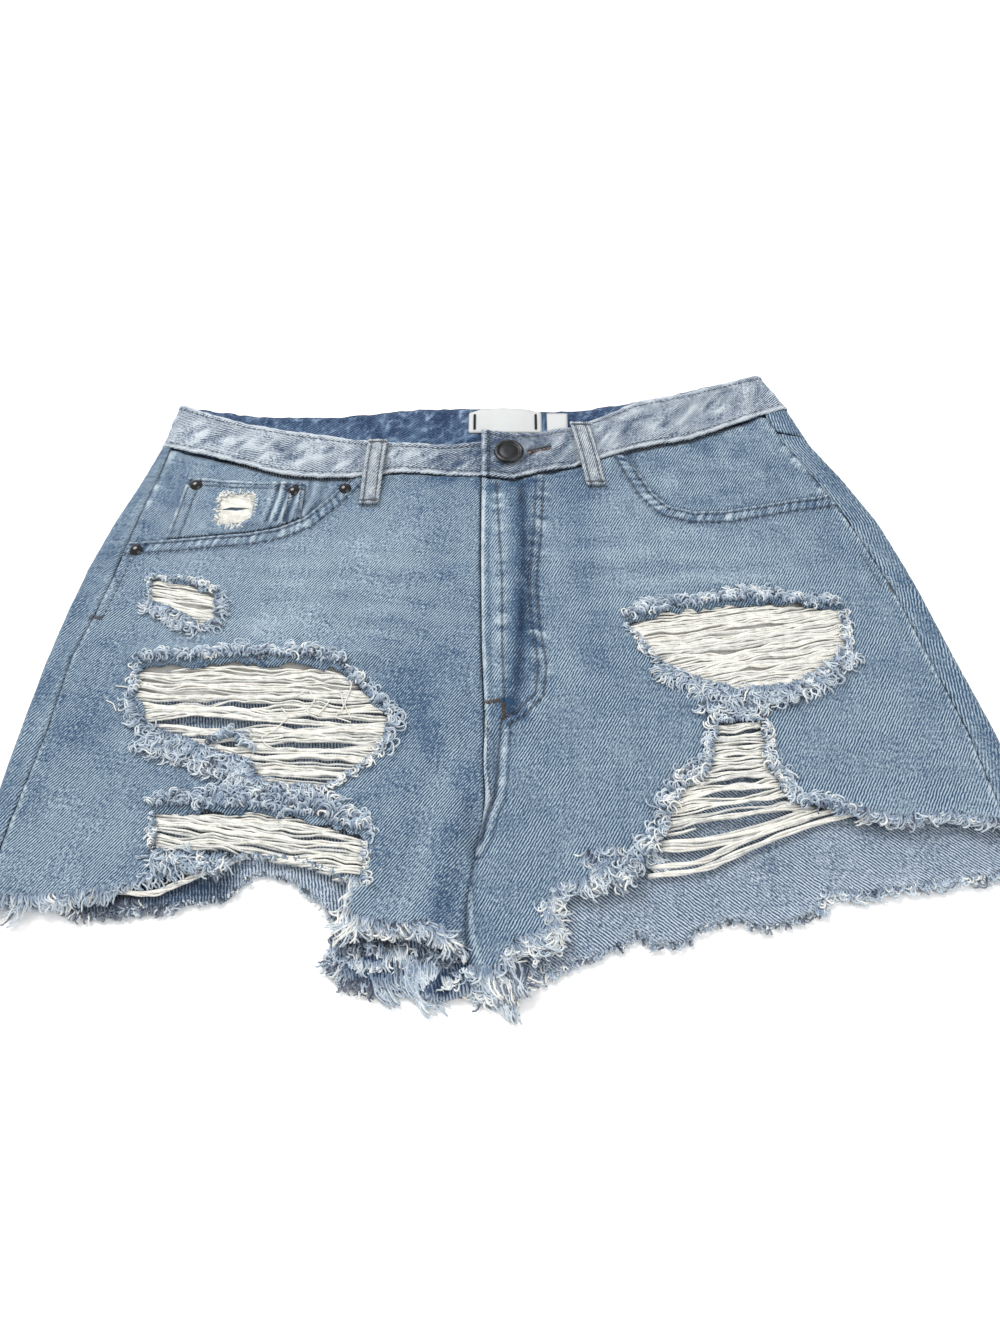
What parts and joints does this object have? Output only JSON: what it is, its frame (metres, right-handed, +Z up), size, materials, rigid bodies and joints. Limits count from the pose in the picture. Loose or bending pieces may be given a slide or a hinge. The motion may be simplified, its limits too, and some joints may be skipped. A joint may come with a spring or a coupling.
{
  "type": "pair of cut-off denim shorts, laid flat with the front up",
  "caption": "Low-rise cut-off denim shorts laid flat, with ripped fronts, frayed open hems, a buttoned waistband and a coin pocket.",
  "frame": {"origin": "on the surface that the shorts lie on, under the middle of their outline", "axes": "+X to the wearer's left, across the shorts; +Y from the hems to the waist; +Z up, out of the front"},
  "size_m": [0.4801, 0.365, 0.0112],
  "materials": {
    "denim": "washed light blue twill, matt with a soft nap",
    "denim_inside": "pale inner face of the twill where it shows, blue outside",
    "denim_band": "washed twill, mottled along its seams",
    "weft_thread": "loose undyed cotton threads",
    "frayed_edge": "curled blue and white raw threads",
    "white_cotton": "plain white cotton",
    "dark_metal": "dark antique metal, rubbed at the rims",
    "tan_thread": "close tan stitching"
  },
  "bodies": {
    "root": {"back_panel_left": "denim_inside", "back_panel_right": "denim_inside", "back_yoke_left": "denim", "back_yoke_right": "denim", "belt_loop_left": "denim_band", "belt_loop_right": "denim_band", "button": "dark_metal", "buttonhole_stitch": "tan_thread", "coin_pocket": "denim", "fray_a": "frayed_edge", "fray_b_low": "frayed_edge", "fray_b_top": "frayed_edge", "fray_c_top": "frayed_edge", "fray_d_low": "frayed_edge", "fray_d_top": "frayed_edge", "fringe_back_left": "frayed_edge", "fringe_back_right_crotch": "frayed_edge", "fringe_back_right_side": "frayed_edge", "fringe_front_left_crotch": "frayed_edge", "fringe_front_left_side": "frayed_edge", "fringe_front_right_crotch": "frayed_edge", "fringe_front_right_side": "frayed_edge", "front_panel_left": "denim", "front_panel_right": "denim", "label_main": "white_cotton", "label_size": "white_cotton", "pocket_bag_left": "white_cotton", "pocket_bag_right": "white_cotton", "pocket_facing_left": "denim", "pocket_facing_right": "denim", "rivet_coin_left": "dark_metal", "rivet_coin_right": "dark_metal", "rivet_pocket_side": "dark_metal", "rivet_pocket_top": "dark_metal", "waistband": "denim_band", "weft_a": "weft_thread", "weft_b": "weft_thread", "weft_c": "weft_thread", "weft_coin": "weft_thread", "weft_d": "weft_thread", "weft_e": "weft_thread", "weft_strand_c": "weft_thread", "weft_strand_e": "weft_thread"}
  },
  "joints": []
}
